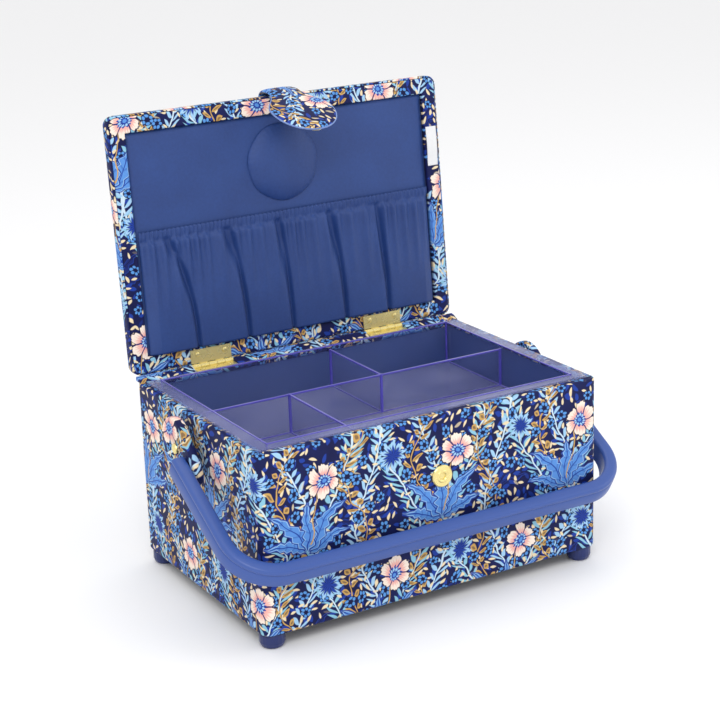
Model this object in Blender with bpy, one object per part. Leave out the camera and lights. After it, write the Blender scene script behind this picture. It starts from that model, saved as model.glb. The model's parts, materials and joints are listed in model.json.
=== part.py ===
"""Sewing box: fabric-covered case with feet, hinged padded lid, closure tab, carrying handle and lift-out tray."""
import math

import bmesh
import bpy

MM = 0.001
GAP = 0.3            # space left between pieces that touch
ROUND = 5            # facets in each rounded corner of a panel

# Case, in millimetres, measured from the floor and from the middle of the case
CASE_X = 154.0       # half width
CASE_Y = 106.0       # half depth
FOOT_H = 12.0
RIM_Z = 157.0
CORNER_R = 8.0
SKIN = 1.2           # covering fabric with its paper backing
RIM_W = 9.5          # finished thickness of a wall at the rim
TURN_IN = 15.0       # how far the covering turns down inside the rim
BOARD_T = 6.5
BASE_T = 5.0
LINING_T = 1.0

# Feet
FOOT_R = 10.0
FOOT_X = 143.0
FOOT_Y = 95.0

# Closure
SNAP_X = 4.0
SNAP_DROP = 50.0
SNAP_R = 9.0

# Lid and its hinges
LID_OPEN = 95.0
AXIS_Y = 106.5
AXIS_Z = RIM_Z + 2.3
HINGE_X = (-84.0, 82.0)
LEAF_W = 37.0
BARREL_R = 2.0
BORE_R = 1.08
PIN_R = 1.0
LEAF_T = 1.0
FRAME_W = 13.0
LID_FACE = 2.3       # height of the lid's rim face over the hinge axis
LINING_FACE = 5.0
FRAME_TOP = 8.3
LID_BOARD_T = 3.0
CROWN = 19.4
POCKET_TOP = 117.0
POCKET_FACE = -3.0
CUSHION_R = 33.0
CUSHION_S = 157.5

# Closure tab, described with the lid shut
STRAP_W = 29.0
TONGUE_W = 58.0
TAB_T = 3.4
TAB_REST = 26.0      # droop of the tab while the lid stands open
STRAP_S = 214.2
STRAP_N = 13.0
FOLD_S = 221.0
FOLD_N = -3.0
FOLD_LINE = FOLD_S + TAB_T / 2.0 + 0.2

# Handle
PIVOT_Y = 4.0
PIVOT_Z = 133.0
ARM_X = 174.0
REACH = 137.7
HANDLE_DROP = 29.3
ARM_T = 11.0
ARM_W = 17.0
BEND_R = 36.0
ARM_START = 16.0
EAR_R = 22.0
EAR_BACK = -4.0
EAR_REACH = 26.0
EAR_TIP_R = 12.0
EAR_IN = 161.0
EAR_OUT = 168.2
RIVET_R = 2.0

# Tray
TRAY_X = 137.5
TRAY_Y = (-91.0, 91.5)
FLANGE_X = 149.0
FLANGE_Y = (-100.5, 95.2)
TRAY_T = 1.6
TRAY_DEPTH = 34.0
DIVIDER_DROP = 2.0
SPLIT_Y = 8.0
SPLIT_BACK_X = 20.0
SPLIT_FRONT_X = -65.0


def clear_file():
    for obj in list(bpy.data.objects):
        bpy.data.objects.remove(obj, do_unlink=True)


def make_material(name, color, roughness, metallic=0.0, transmission=0.0):
    mat = bpy.data.materials.new(name)
    mat.use_nodes = True
    shader = mat.node_tree.nodes["Principled BSDF"]
    shader.inputs["Base Color"].default_value = (*color, 1.0)
    shader.inputs["Roughness"].default_value = roughness
    shader.inputs["Metallic"].default_value = metallic
    shader.inputs["Transmission Weight"].default_value = transmission
    mat.diffuse_color = (*color, 1.0)
    return mat


LOOKS = {
    "print_cloth": ((0.09, 0.14, 0.42), 0.8, 0.0, 0.0),
    "lining_cloth": ((0.06, 0.13, 0.36), 0.7, 0.0, 0.0),
    "board": ((0.45, 0.33, 0.2), 0.8, 0.0, 0.0),
    "wadding": ((0.85, 0.85, 0.82), 0.9, 0.0, 0.0),
    "base_felt": ((0.05, 0.06, 0.12), 0.9, 0.0, 0.0),
    "label_cloth": ((0.9, 0.9, 0.88), 0.7, 0.0, 0.0),
    "elastic": ((0.1, 0.15, 0.35), 0.8, 0.0, 0.0),
    "brass": ((0.8, 0.6, 0.22), 0.25, 1.0, 0.0),
    "blue_plastic": ((0.09, 0.13, 0.45), 0.35, 0.0, 0.0),
    "dark_plastic": ((0.04, 0.07, 0.2), 0.4, 0.0, 0.0),
    "clear_plastic": ((0.45, 0.45, 0.8), 0.12, 0.0, 0.7),
}


def finish(name, verts, faces, look, parent=None, smooth=False):
    """Turn millimetre coordinates into one closed, outward-facing object with its own material."""
    mesh = bpy.data.meshes.new(name)
    mesh.from_pydata([(x * MM, y * MM, z * MM) for x, y, z in verts], [], faces)
    work = bmesh.new()
    work.from_mesh(mesh)
    bmesh.ops.recalc_face_normals(work, faces=work.faces)
    work.to_mesh(mesh)
    work.free()
    if smooth:
        mesh.shade_smooth()
        mesh.set_sharp_from_angle(angle=math.radians(40.0))
    color, roughness, metallic, transmission = LOOKS[look]
    mesh.materials.append(make_material(name, color, roughness, metallic, transmission))
    obj = bpy.data.objects.new(name, mesh)
    bpy.context.scene.collection.objects.link(obj)
    obj.parent = parent
    return obj


def add_axis(name, location, parent=None, tilt=0.0):
    """An empty that carries the pieces turning about it; tilt is in degrees about X."""
    empty = bpy.data.objects.new(name, None)
    empty.empty_display_size = 0.02
    empty.location = [value * MM for value in location]
    empty.rotation_euler = (math.radians(tilt), 0.0, 0.0)
    empty.parent = parent
    bpy.context.scene.collection.objects.link(empty)
    return empty


def box(name, low, high, look, parent=None):
    xs, ys, zs = zip(low, high)
    verts = [(x, y, z) for z in zs for y in ys for x in xs]
    faces = [(0, 1, 3, 2), (4, 6, 7, 5), (0, 4, 5, 1), (2, 3, 7, 6), (0, 2, 6, 4), (1, 5, 7, 3)]
    return finish(name, verts, faces, look, parent)


def panel_outline(half_x, half_y, radius):
    """Corner-rounded rectangle about the origin."""
    points = []
    for corner, (sx, sy) in enumerate(((1, 1), (-1, 1), (-1, -1), (1, -1))):
        for step in range(ROUND + 1):
            angle = math.radians(90.0 * (corner + step / ROUND))
            points.append((sx * (half_x - radius) + radius * math.cos(angle),
                           sy * (half_y - radius) + radius * math.sin(angle)))
    return points


def lofted(name, loops, look, parent=None, ring=False, smooth=False):
    """Join loops of equal length; a ring closes on itself, anything else is capped at both ends."""
    count = len(loops[0])
    verts = [point for loop in loops for point in loop]
    faces = []
    pairs = len(loops) if ring else len(loops) - 1
    for row in range(pairs):
        here = row * count
        there = ((row + 1) % len(loops)) * count
        for i in range(count):
            j = (i + 1) % count
            faces.append((here + i, here + j, there + j, there + i))
    if not ring:
        faces.append(tuple(range(count)))
        faces.append(tuple(range((len(loops) - 1) * count, len(loops) * count)))
    return finish(name, verts, faces, look, parent, smooth)


def inset_loop(offset, height, half=(CASE_X, CASE_Y), corner=CORNER_R, centre=0.0):
    """Outline of the case moved inwards by offset, at one height."""
    radius = max(corner - offset, 1.0)
    outline = panel_outline(half[0] - offset, half[1] - offset, radius)
    return [(x, y + centre, height) for x, y in outline]


def lathe(name, profile, look, segments=20, axis="z", at=(0.0, 0.0, 0.0), parent=None, ring=False):
    """Turn (radius, height) points about an axis; a profile that is not a ring starts and ends on the axis."""
    def place(radius, height, angle):
        u = radius * math.cos(angle)
        v = radius * math.sin(angle)
        local = {"x": (height, u, v), "y": (u, height, v), "z": (u, v, height)}[axis]
        return tuple(a + b for a, b in zip(at, local))

    body = profile if ring else profile[1:-1]
    verts = []
    for radius, height in body:
        for i in range(segments):
            verts.append(place(radius, height, 2.0 * math.pi * i / segments))
    faces = []
    rows = len(body) if ring else len(body) - 1
    for row in range(rows):
        here = row * segments
        there = ((row + 1) % len(body)) * segments
        for i in range(segments):
            j = (i + 1) % segments
            faces.append((here + i, here + j, there + j, there + i))
    if not ring:
        for (radius, height), start in ((profile[0], 0), (profile[-1], (len(body) - 1) * segments)):
            tip = len(verts)
            verts.append(place(0.0, height, 0.0))
            for i in range(segments):
                faces.append((start + i, start + (i + 1) % segments, tip))
    return finish(name, verts, faces, look, parent, smooth=True)


def layered(name, points, cells, levels, filled, look, place, parent=None, smooth=False):
    """Stack flat cells between levels and keep only the outside surface of the filled ones."""
    rows = len(levels)
    verts = [place(x, y, level) for level in levels for x, y in points]
    owners = {}
    for index, cell in enumerate(cells):
        for a, b in zip(cell, cell[1:] + cell[:1]):
            owners.setdefault(frozenset((a, b)), []).append(index)
    count = len(points)
    faces = []
    for row in range(rows - 1):
        low = row * count
        high = low + count
        for index, cell in enumerate(cells):
            if not filled(index, row):
                continue
            for a, b in zip(cell, cell[1:] + cell[:1]):
                others = [k for k in owners[frozenset((a, b))] if k != index]
                if not any(filled(k, row) for k in others):
                    faces.append((low + a, low + b, high + b, high + a))
            if row == 0 or not filled(index, row - 1):
                faces.append(tuple(low + a for a in reversed(cell)))
            if row == rows - 2 or not filled(index, row + 1):
                faces.append(tuple(high + a for a in cell))
    used = sorted({v for face in faces for v in face})
    number = {v: i for i, v in enumerate(used)}
    faces = [tuple(number[v] for v in face) for face in faces]
    return finish(name, [verts[v] for v in used], faces, look, parent, smooth)


def build_case(root):
    """Covered walls, base, linings and feet."""
    top = RIM_Z
    inner = RIM_W - SKIN
    section = [
        (0.0, FOOT_H), (0.0, top - 1.5), (0.5, top - 0.4), (1.5, top),
        (RIM_W - 1.5, top), (RIM_W - 0.5, top - 0.4), (RIM_W, top - 1.5), (RIM_W, top - TURN_IN),
        (inner, top - TURN_IN), (inner, top - SKIN), (SKIN, top - SKIN), (SKIN, FOOT_H),
    ]
    lofted("outer_cover", [inset_loop(o, z) for o, z in section], "print_cloth", root, ring=True)

    out = SKIN + GAP
    wall_x = CASE_X - out
    wall_y = CASE_Y - out
    in_x = wall_x - BOARD_T
    in_y = wall_y - BOARD_T
    low = FOOT_H + 3.5
    high = top - SKIN - GAP
    end_x = in_x + 0.5
    end_y = in_y - GAP
    box("front_board", (-end_x, -wall_y, low), (end_x, -in_y, high), "board", root)
    box("back_board", (-end_x, in_y, low), (end_x, wall_y, high), "board", root)
    box("left_board", (-wall_x, -end_y, low), (-in_x, end_y, high), "board", root)
    box("right_board", (in_x, -end_y, low), (wall_x, end_y, high), "board", root)
    box("base_board", (-in_x + GAP, -end_y, low), (in_x - GAP, end_y, low + BASE_T), "board", root)
    lofted("base_cover", [inset_loop(out, FOOT_H), inset_loop(out, low - GAP)], "base_felt", root)

    floor = low + BASE_T + GAP
    ceiling = top - TURN_IN - GAP
    face_x = in_x - GAP
    face_y = in_y - GAP
    near_x = face_x - LINING_T
    near_y = face_y - LINING_T
    side_y = near_y - GAP
    side_x = near_x - GAP
    box("front_lining", (-side_x, -face_y, floor), (side_x, -near_y, ceiling), "lining_cloth", root)
    box("back_lining", (-side_x, near_y, floor), (side_x, face_y, ceiling), "lining_cloth", root)
    box("left_lining", (-face_x, -side_y, floor), (-near_x, side_y, ceiling), "lining_cloth", root)
    box("right_lining", (near_x, -side_y, floor), (face_x, side_y, ceiling), "lining_cloth", root)
    box("floor_lining", (-side_x, -side_y, floor), (side_x, side_y, floor + LINING_T), "lining_cloth", root)

    foot = [(0.0, 0.0), (FOOT_R - 3.0, 0.0), (FOOT_R - 1.2, 1.2), (FOOT_R, 4.0), (FOOT_R, FOOT_H - 2.0),
            (FOOT_R - 0.8, FOOT_H - GAP), (0.0, FOOT_H - GAP)]
    for side, x in (("left", -FOOT_X), ("right", FOOT_X)):
        for end, y in (("front", -FOOT_Y), ("back", FOOT_Y)):
            lathe(f"foot_{end}_{side}", foot, "dark_plastic", at=(x, y, 0.0), parent=root)

    face = -(CASE_Y + GAP)
    socket = [(0.0, face), (SNAP_R, face), (SNAP_R, face - 1.0), (SNAP_R - 0.7, face - 1.7),
              (5.2, face - 1.7), (4.6, face - 2.2), (3.4, face - 2.2), (2.7, face - 1.6),
              (2.7, face - 0.7), (0.0, face - 0.7)]
    lathe("snap_socket", socket, "brass", axis="y", at=(SNAP_X, 0.0, RIM_Z - SNAP_DROP), parent=root)


def build_leaf(name, length, knuckles, flip, middle, parent):
    """Stamped hinge leaf with rolled knuckles; flip is 1 for the case leaf and -1 for the lid leaf."""
    steps = 12
    ring = [(math.cos(math.tau * k / steps), math.sin(math.tau * k / steps)) for k in range(steps)]
    points = [(BARREL_R * c, BARREL_R * s) for c, s in ring] + [(BORE_R * c, BORE_R * s) for c, s in ring]
    root_s = BARREL_R + GAP
    points += [(root_s, -BARREL_R), (root_s, -BARREL_R + LEAF_T), (length, -BARREL_R), (length, -BARREL_R + LEAF_T)]
    cells = [[k, (k + 1) % steps, steps + (k + 1) % steps, steps + k] for k in range(steps)]
    bottom, lower, upper = 9, 10, 11
    plate = 2 * steps
    cells.append([bottom, plate, plate + 1, upper, lower])
    cells.append([plate, plate + 2, plate + 3, plate + 1])
    plate_cell = len(cells) - 1
    pitch = LEAF_W / 5.0
    levels = []
    solid_rows = []
    for k in range(5):
        start = -LEAF_W / 2.0 + k * pitch
        inset = GAP / 2.0
        first = start if k == 0 else start + inset
        last = start + pitch if k == 4 else start + pitch - inset
        if levels:
            solid_rows.append(False)
        levels.append(first)
        solid_rows.append(k in knuckles)
        levels.append(last)

    def filled(cell, row):
        return cell == plate_cell or solid_rows[row]

    def place(s, n, x):
        return (middle + x, -s, flip * n)

    return layered(name, points, cells, levels, filled, "brass", place, parent, smooth=True)


def build_hinges(fixed, lid):
    """Two five-knuckle hinges, each with its pin and the rivets that hold its leaves."""
    for side, x in (("left", HINGE_X[0]), ("right", HINGE_X[1])):
        build_leaf(f"case_leaf_{side}", 10.0, (0, 2, 4), 1.0, x, fixed)
        build_leaf(f"lid_leaf_{side}", 13.6, (1, 3), -1.0, x, lid)
        half = LEAF_W / 2.0
        pin = [(0.0, -half), (PIN_R, -half), (PIN_R, half), (0.0, half)]
        lathe(f"hinge_pin_{side}", pin, "brass", 12, "x", (x, 0.0, 0.0), fixed)
        for number, offset in enumerate((-12.5, 12.5), start=1):
            head = [(0.0, 0.0), (2.1, 0.0), (1.9, 0.35), (1.1, 0.6), (0.0, 0.65)]
            lathe(f"case_rivet_{side}_{number}", head, "brass", 12, "z",
                  (x + offset, -6.4, -BARREL_R + LEAF_T + 0.2), fixed)
            low_head = [(radius, -height) for radius, height in head]
            lathe(f"lid_rivet_{side}_{number}", low_head, "brass", 12, "z",
                  (x + offset, -9.6, BARREL_R - LEAF_T - 0.2), lid)


def lid_loop(offset, height):
    """Outline of the lid moved inwards by offset, in the hinge frame with the lid shut."""
    return inset_loop(offset, height, centre=-AXIS_Y)


def build_lid(lid):
    """Covered lid with rim frame, lining, gathered pocket, pin cushion and a plain label."""
    top = FRAME_TOP + GAP + LID_BOARD_T
    outer = SKIN + GAP
    section = [
        (outer, LID_FACE + 1.0), (outer + 1.0, LID_FACE), (outer + FRAME_W - 1.0, LID_FACE),
        (outer + FRAME_W, LID_FACE + 1.0), (outer + FRAME_W, FRAME_TOP), (outer, FRAME_TOP),
    ]
    lofted("lid_frame", [lid_loop(o, n) for o, n in section], "print_cloth", lid, ring=True)
    inside = outer + FRAME_W + GAP
    lofted("lid_lining", [lid_loop(inside, LINING_FACE), lid_loop(inside, FRAME_TOP)], "lining_cloth", lid)
    board = outer + 1.5
    lofted("lid_board", [lid_loop(board, FRAME_TOP + GAP), lid_loop(board, top)], "board", lid)
    pad = [(board, top + GAP), (board, top + 1.3), (5.0, top + 3.3), (10.0, top + 4.5),
           (31.0, top + 5.6), (61.0, top + 6.1)]
    lofted("lid_padding", [lid_loop(o, n) for o, n in pad], "wadding", lid)
    shell = [(0.0, 3.3), (0.0, 12.0), (1.2, 14.7), (4.0, 16.4), (9.5, 17.6), (30.0, 18.8), (60.0, CROWN)]
    back = [(60.0, CROWN - SKIN), (30.0, 18.8 - SKIN), (9.8, 17.6 - SKIN), (4.6, 16.4 - SKIN),
            (2.3, 14.0), (SKIN, 11.8), (SKIN, 3.3)]
    lofted_shell("lid_cover", [lid_loop(o, n) for o, n in shell], [lid_loop(o, n) for o, n in back], lid)

    half = TRAY_X - 1.3
    low = 16.5
    build_pocket(half, low, lid)
    box("pocket_elastic", (-half + 3.0, -POCKET_TOP + 1.0, POCKET_FACE + 1.3),
        (half - 3.0, -POCKET_TOP + 8.0, POCKET_FACE + 2.0), "elastic", lid)

    face = LINING_FACE - GAP
    cushion = [(0.0, face), (CUSHION_R, face), (CUSHION_R, face - 1.0), (CUSHION_R - 1.5, face - 3.0),
               (CUSHION_R - 6.0, face - 5.0), (CUSHION_R - 15.0, face - 6.4), (0.0, face - 7.0)]
    lathe("pin_cushion", cushion, "lining_cloth", 28, "z", (0.0, -CUSHION_S, 0.0), lid)
    box("label", (140.5, -169.0, LID_FACE - 1.0), (150.5, -135.0, LID_FACE - GAP), "label_cloth", lid)
    box("tab_anchor", (SNAP_X - STRAP_W / 2.0, -206.0, 18.7), (SNAP_X + STRAP_W / 2.0, -190.0, 19.8),
        "print_cloth", lid)


def lofted_shell(name, outside, inside, parent):
    """Cap with a thickness: outside runs from the skirt to the crown, inside runs back down."""
    count = len(outside[0])
    loops = outside + inside
    verts = [point for loop in loops for point in loop]
    faces = []
    crown = len(outside) - 1
    for row in range(len(loops)):
        if row == crown:
            continue
        here = row * count
        there = ((row + 1) % len(loops)) * count
        for i in range(count):
            j = (i + 1) % count
            faces.append((here + i, here + j, there + j, there + i))
    faces.append(tuple(range(crown * count, (crown + 1) * count)))
    faces.append(tuple(range((crown + 1) * count, (crown + 2) * count)))
    return finish(name, verts, faces, "print_cloth", parent)


def build_pocket(half, low, lid):
    """Stitched-down pocket, open along its top edge."""
    wall = 1.0
    face = POCKET_FACE
    back = LINING_FACE - GAP
    xs = [-half, -half + wall, half - wall, half]
    ys = [low, low + wall, POCKET_TOP]
    points = [(x, y) for y in ys for x in xs]
    cells = []
    for j in range(2):
        for i in range(3):
            a = j * 4 + i
            cells.append([a, a + 1, a + 5, a + 4])
    hollow = 4

    def filled(cell, row):
        return row == 0 or cell != hollow

    def place(x, s, n):
        return (x, -s, n)

    layered("pocket", points, cells, [face, face + wall, back], filled, "lining_cloth", place, lid)


def build_tab(strap, fold):
    """Padded closure tab in two stiff parts: the strap at the lid and the tongue with the stud."""
    def plate(name, stations, parent, origin):
        loops = []
        for k, (s, n, width) in enumerate(stations):
            ahead = stations[min(k + 1, len(stations) - 1)]
            behind = stations[max(k - 1, 0)]
            ds = ahead[0] - behind[0]
            dn = ahead[1] - behind[1]
            size = math.hypot(ds, dn)
            side_s = -dn / size * TAB_T / 2.0
            side_n = ds / size * TAB_T / 2.0
            s -= origin[0]
            n -= origin[1]
            half = width / 2.0
            edge = min(1.2, half / 3.0)
            loops.append([
                (SNAP_X - half, -s, n),
                (SNAP_X - half + edge, -(s + side_s), n + side_n),
                (SNAP_X + half - edge, -(s + side_s), n + side_n),
                (SNAP_X + half, -s, n),
                (SNAP_X + half - edge, -(s - side_s), n - side_n),
                (SNAP_X - half + edge, -(s - side_s), n - side_n),
            ])
        return lofted(name, loops, "print_cloth", parent)

    strap_line = [(215.0, 14.5, STRAP_W), (216.9, 11.6, STRAP_W), (219.0, 7.0, STRAP_W),
                  (220.5, 2.0, STRAP_W), (FOLD_S, FOLD_N + GAP, STRAP_W + 1.0)]
    plate("tab_strap", strap_line, strap, (STRAP_S, STRAP_N))

    start = FOLD_N - GAP
    length = 59.0
    tongue_line = []
    for share in (0.0, 0.06, 0.14, 0.24, 0.36, 0.5, 0.64, 0.76, 0.86, 0.93, 0.975, 1.0):
        if share < 0.5:
            blend = (1.0 - math.cos(math.pi * share / 0.5)) / 2.0
            width = (STRAP_W + 1.0) + (TONGUE_W - STRAP_W - 1.0) * blend ** 0.8
        else:
            width = TONGUE_W * math.sqrt(max(1.0 - ((share - 0.5) / 0.508) ** 2.2, 0.02))
        tongue_line.append((FOLD_S, start - length * share, width))
    plate("tab_tongue", tongue_line, fold, (FOLD_LINE, FOLD_N))

    inner = FOLD_LINE - (FOLD_S - TAB_T / 2.0 - GAP)
    stud = [(0.0, inner), (7.0, inner), (7.0, inner + 0.5), (6.0, inner + 1.0), (2.4, inner + 1.0),
            (2.2, inner + 1.8), (1.6, inner + 2.3), (0.0, inner + 2.3)]
    height = RIM_Z - SNAP_DROP - AXIS_Z - FOLD_N
    lathe("snap_stud", stud, "brass", 20, "y", (SNAP_X, 0.0, height), fold)


def ear_outline(steps):
    """Outline round a large circle at the pivot and a small one along the arm, seen from the pivot."""
    outline = []
    for step in range(steps):
        turn = math.tau * step / steps
        far = 0.0
        for part in range(41):
            share = part / 40.0
            middle = EAR_BACK + (EAR_REACH - EAR_BACK) * share
            radius = EAR_R + (EAR_TIP_R - EAR_R) * share
            along = middle * math.cos(turn)
            rest = radius * radius - middle * middle + along * along
            if rest > 0.0:
                far = max(far, along + math.sqrt(rest))
        outline.append((far * math.cos(turn), far * math.sin(turn)))
    return outline


def build_handle(handle, fixed):
    """Moulded bail on two covered ears that turn on rivets through the side walls."""
    edge = 2.6
    half_t = ARM_T / 2.0
    half_w = ARM_W / 2.0
    section = [(half_t, half_w - edge), (half_t - edge, half_w), (-half_t + edge, half_w), (-half_t, half_w - edge),
               (-half_t, -half_w + edge), (-half_t + edge, -half_w), (half_t - edge, -half_w),
               (half_t, -half_w + edge)]
    stations = []
    for angle in (12.0, 32.0, 52.0, 72.0, 90.0):
        turn = math.radians(angle)
        stations.append((-ARM_X, ARM_START + half_w * (1.0 - math.cos(turn)), 180.0, math.sin(turn)))
    bend_s = REACH - BEND_R
    for step in range(9):
        turn = math.radians(90.0 * step / 8.0)
        stations.append((-ARM_X + BEND_R * (1.0 - math.cos(turn)), bend_s + BEND_R * math.sin(turn),
                         180.0 - 90.0 * step / 8.0, 1.0))
    mirrored = [(-x, s, 180.0 - angle, scale) for x, s, angle, scale in reversed(stations)]
    loops = []
    for x, s, angle, scale in stations + mirrored:
        turn = math.radians(angle)
        loop = []
        for u, w in section:
            loop.append((x + u * math.cos(turn), -(s + u * math.sin(turn)), w * scale))
        loops.append(loop)
    lofted("handle_bail", loops, "blue_plastic", handle, smooth=True)

    for side, sign in (("left", -1.0), ("right", 1.0)):
        outline = ear_outline(28)
        hole = []
        for s, w in outline:
            size = math.hypot(s, w)
            hole.append((s / size * (RIVET_R + 0.08), w / size * (RIVET_R + 0.08)))
        count = len(outline)
        cells = [[k, (k + 1) % count, count + (k + 1) % count, count + k] for k in range(count)]

        def place(s, w, x, sign=sign):
            return (sign * x, -s, w)

        layered(f"ear_{side}", outline + hole, cells, [EAR_IN, EAR_OUT], lambda cell, row: True,
                "print_cloth", place, handle)
        x0 = sign * (CASE_X + GAP)
        spacer = [(RIVET_R + 0.08, x0), (5.0, x0), (5.0, sign * (EAR_IN - GAP)),
                  (RIVET_R + 0.08, sign * (EAR_IN - GAP))]
        lathe(f"pivot_spacer_{side}", spacer, "brass", 16, "x", (0.0, PIVOT_Y, PIVOT_Z), fixed, ring=True)
        neck = sign * (EAR_OUT + GAP)
        rivet = [(0.0, x0), (RIVET_R, x0), (RIVET_R, neck), (4.2, neck), (3.9, neck + sign * 0.9),
                 (2.4, neck + sign * 1.6), (0.0, neck + sign * 1.8)]
        lathe(f"pivot_rivet_{side}", rivet, "brass", 16, "x", (0.0, PIVOT_Y, PIVOT_Z), fixed)


def build_tray(root):
    """Clear tray with one long divider and one short divider in each row."""
    wall = TRAY_T
    half = wall / 2.0
    xs = sorted([-FLANGE_X, -TRAY_X - wall, -TRAY_X, SPLIT_FRONT_X - half, SPLIT_FRONT_X + half,
                 SPLIT_BACK_X - half, SPLIT_BACK_X + half, TRAY_X, TRAY_X + wall, FLANGE_X])
    ys = [FLANGE_Y[0], TRAY_Y[0] - wall, TRAY_Y[0], SPLIT_Y - half, SPLIT_Y + half, TRAY_Y[1],
          TRAY_Y[1] + wall, FLANGE_Y[1]]
    seat = RIM_Z + GAP
    floor = seat - TRAY_DEPTH
    levels = [floor - wall, floor, RIM_Z - DIVIDER_DROP, seat, seat + wall]
    points = [(x, y) for y in ys for x in xs]
    wide = len(xs)
    cells = []
    kinds = []
    for j in range(len(ys) - 1):
        for i in range(wide - 1):
            a = j * wide + i
            cells.append([a, a + 1, a + wide + 1, a + wide])
            x = (xs[i] + xs[i + 1]) / 2.0
            y = (ys[j] + ys[j + 1]) / 2.0
            kinds.append(tray_zone(x, y))

    def filled(cell, row):
        kind = kinds[cell]
        if kind == "flange":
            return row == 3
        if kind == "wall":
            return True
        if kind == "divider":
            return row < 2
        return row == 0

    return layered("tray", points, cells, levels, filled, "clear_plastic", lambda x, y, z: (x, y, z), root)


def tray_zone(x, y):
    """What stands at one place in the tray's plan."""
    wall = TRAY_T
    if abs(x) > TRAY_X + wall or y < TRAY_Y[0] - wall or y > TRAY_Y[1] + wall:
        return "flange"
    if abs(x) > TRAY_X or y < TRAY_Y[0] or y > TRAY_Y[1]:
        return "wall"
    if abs(y - SPLIT_Y) < wall / 2.0:
        return "divider"
    if y > SPLIT_Y and abs(x - SPLIT_BACK_X) < wall / 2.0:
        return "divider"
    if y < SPLIT_Y and abs(x - SPLIT_FRONT_X) < wall / 2.0:
        return "divider"
    return "floor"


def centre_over_origin(root):
    """Slide the whole box along Y so its overall extent is centred."""
    bpy.context.view_layer.update()
    ys = [(obj.matrix_world @ vert.co).y for obj in bpy.data.objects if obj.type == "MESH"
          for vert in obj.data.vertices]
    root.location.y = -(min(ys) + max(ys)) / 2.0


def main():
    clear_file()
    root = add_axis("box", (0.0, 0.0, 0.0))
    hinge_line = add_axis("hinge_line", (0.0, AXIS_Y, AXIS_Z), root)
    lid = add_axis("lid_axis", (0.0, AXIS_Y, AXIS_Z), root, -LID_OPEN)
    strap = add_axis("strap_axis", (0.0, -STRAP_S, STRAP_N), lid, TAB_REST)
    fold = add_axis("fold_axis", (0.0, -(FOLD_LINE - STRAP_S), FOLD_N - STRAP_N), strap)
    handle = add_axis("handle_axis", (0.0, PIVOT_Y, PIVOT_Z), root, HANDLE_DROP)
    build_case(root)
    build_hinges(hinge_line, lid)
    build_lid(lid)
    build_tab(strap, fold)
    build_handle(handle, root)
    build_tray(root)
    centre_over_origin(root)


main()
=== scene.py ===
import json
import math
import random

import bpy
from mathutils import Matrix, Vector


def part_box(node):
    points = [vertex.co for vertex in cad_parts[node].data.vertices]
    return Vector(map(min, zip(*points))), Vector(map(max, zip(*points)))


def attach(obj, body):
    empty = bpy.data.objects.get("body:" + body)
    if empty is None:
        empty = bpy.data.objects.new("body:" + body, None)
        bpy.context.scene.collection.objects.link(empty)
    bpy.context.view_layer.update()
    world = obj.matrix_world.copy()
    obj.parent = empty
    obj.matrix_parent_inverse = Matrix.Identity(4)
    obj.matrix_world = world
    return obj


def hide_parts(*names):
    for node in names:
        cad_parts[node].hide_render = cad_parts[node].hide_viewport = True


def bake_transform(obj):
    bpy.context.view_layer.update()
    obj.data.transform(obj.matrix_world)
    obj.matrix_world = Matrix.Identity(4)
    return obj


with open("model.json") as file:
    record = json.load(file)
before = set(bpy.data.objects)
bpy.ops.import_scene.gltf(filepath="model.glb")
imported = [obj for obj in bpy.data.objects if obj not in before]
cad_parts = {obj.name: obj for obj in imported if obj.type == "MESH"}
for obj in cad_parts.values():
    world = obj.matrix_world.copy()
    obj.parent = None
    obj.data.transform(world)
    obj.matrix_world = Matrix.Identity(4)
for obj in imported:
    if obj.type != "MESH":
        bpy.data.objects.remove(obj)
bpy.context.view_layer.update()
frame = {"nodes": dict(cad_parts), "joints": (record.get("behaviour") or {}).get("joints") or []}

mm = 0.001
joints = {joint["name"]: joint for joint in frame["joints"]}
scene = bpy.context.scene
scene.view_settings.view_transform = "Standard"


def fromHex(text):  # "#rrggbb" to a linear colour
    parts = [int(text[k:k + 2], 16) / 255 for k in (1, 3, 5)]
    return tuple(c / 12.92 if c < 0.04045 else ((c + 0.055) / 1.055) ** 2.4 for c in parts) + (1.0,)


# numbers that vary over a surface, joined up as shader nodes
class Field:
    def __init__(self, tree, socket):
        self.tree = tree
        self.socket = socket

    def op(self, kind, *others, clamp=False):
        node = self.tree.nodes.new("ShaderNodeMath")
        node.operation = kind
        node.use_clamp = clamp
        for k, value in enumerate((self, *others)):
            if isinstance(value, Field):
                self.tree.links.new(value.socket, node.inputs[k])
            else:
                node.inputs[k].default_value = value
        return Field(self.tree, node.outputs[0])

    def __add__(self, other):
        return self.op("ADD", other)

    __radd__ = __add__

    def __sub__(self, other):
        return self.op("SUBTRACT", other)

    def __rsub__(self, other):
        return self.op("MULTIPLY_ADD", -1.0, other)

    def __mul__(self, other):
        return self.op("MULTIPLY", other)

    __rmul__ = __mul__

    def __truediv__(self, other):
        return self.op("DIVIDE", other)

    def above(self, soft):  # 1 where the number is over 0, with a soft edge
        return self.op("MULTIPLY_ADD", 1.0 / soft, 0.5, clamp=True)

    def size(self):
        return self.op("ABSOLUTE")

    def part(self):
        return self.op("FRACT")

    def wave(self):
        return self.op("SINE")

    def clipped(self):  # held between 0 and 1
        return self.op("MULTIPLY_ADD", 1.0, 0.0, clamp=True)


def splitVector(tree, socket):
    node = tree.nodes.new("ShaderNodeSeparateXYZ")
    tree.links.new(socket, node.inputs[0])
    return [Field(tree, out) for out in node.outputs]


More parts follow.
